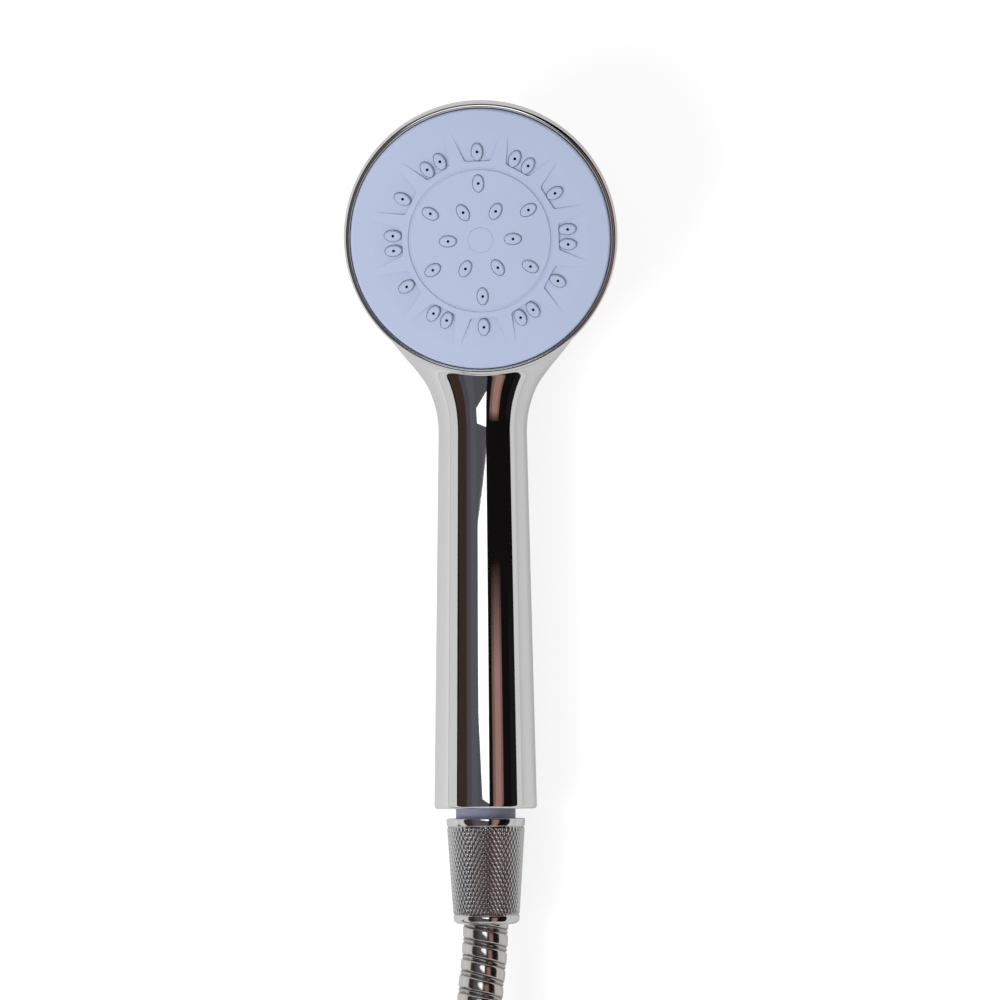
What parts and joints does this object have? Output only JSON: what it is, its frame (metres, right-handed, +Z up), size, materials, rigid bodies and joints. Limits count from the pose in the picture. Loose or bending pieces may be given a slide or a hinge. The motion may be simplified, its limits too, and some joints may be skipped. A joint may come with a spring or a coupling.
{
  "type": "handheld shower head",
  "caption": "Chrome handheld shower head with a round soft-nozzle spray face, a tapered handle, a knurled cone nut and a coiled metal hose ending in a hexagon nut.",
  "frame": {"origin": "on the surface the handset lies on, under the middle of the handset's bounding box (measured without the hose)", "axes": "+Z up, out of the surface; +Y along the handle towards the head; +X to the right when looking at the spray face"},
  "size_m": [0.1886, 0.4605, 0.061],
  "materials": {
    "chrome_plate": "polished chrome on ABS",
    "face_plastic": "satin blue-grey ABS",
    "nozzle_silicone": "matte blue-grey silicone",
    "inner_plastic": "moulded grey-blue",
    "steel": "bright stainless",
    "brass_plated": "nickel-plated brass",
    "nut_chrome": "polished chrome, knurled",
    "hose_metal": "bright stainless spiral strip over a soft tube",
    "seal_rubber": "black rubber",
    "valve_plastic": "moulded white"
  },
  "bodies": {
    "handset": {"body_shell": "chrome_plate", "spray_plate": "face_plastic", "nozzle_mat": "nozzle_silicone", "screw_cap": "face_plastic", "centre_screw": "steel", "screw_washer": "seal_rubber", "diffuser_plate": "valve_plastic", "chamber_seal": "seal_rubber", "chamber_back": "inner_plastic", "chamber_screws": "steel", "inlet_tube": "inner_plastic", "inlet_o_ring": "seal_rubber", "outlet_o_ring": "seal_rubber", "flow_restrictor": "valve_plastic", "filter_screen": "steel"},
    "hose": {"hose_washer_top": "seal_rubber", "tailpiece_top": "brass_plated", "crimp_sleeve_top": "steel", "hose_run": "hose_metal", "hose_coil": "hose_metal", "hose_tail": "hose_metal", "crimp_sleeve_bottom": "steel", "tailpiece_bottom": "brass_plated", "hose_washer_bottom": "seal_rubber"},
    "cone_nut": {"cone_nut": "nut_chrome"},
    "wall_nut": {"wall_nut": "nut_chrome"}
  },
  "joints": [
    {"name": "hose_backs_out", "type": "slide", "parent": "handset", "child": "hose", "axis": [0, -1, 0], "range_m": [0, 0.01088]},
    {"name": "nut_spin", "type": "hinge", "parent": "hose", "child": "cone_nut", "pos_m": [0, -0.1095, 0.01598], "axis": [0, 1, 0], "range_deg": [0, 2160]},
    {"name": "wall_nut_spin", "type": "hinge", "parent": "hose", "child": "wall_nut", "pos_m": [-0.1332, -0.16166, 0.01416], "axis": [0, 1, 0], "continuous": true}
  ],
  "couplings": [
    {"joint": "nut_spin", "follows": "hose_backs_out", "rad_per_m": 3463.7}
  ]
}
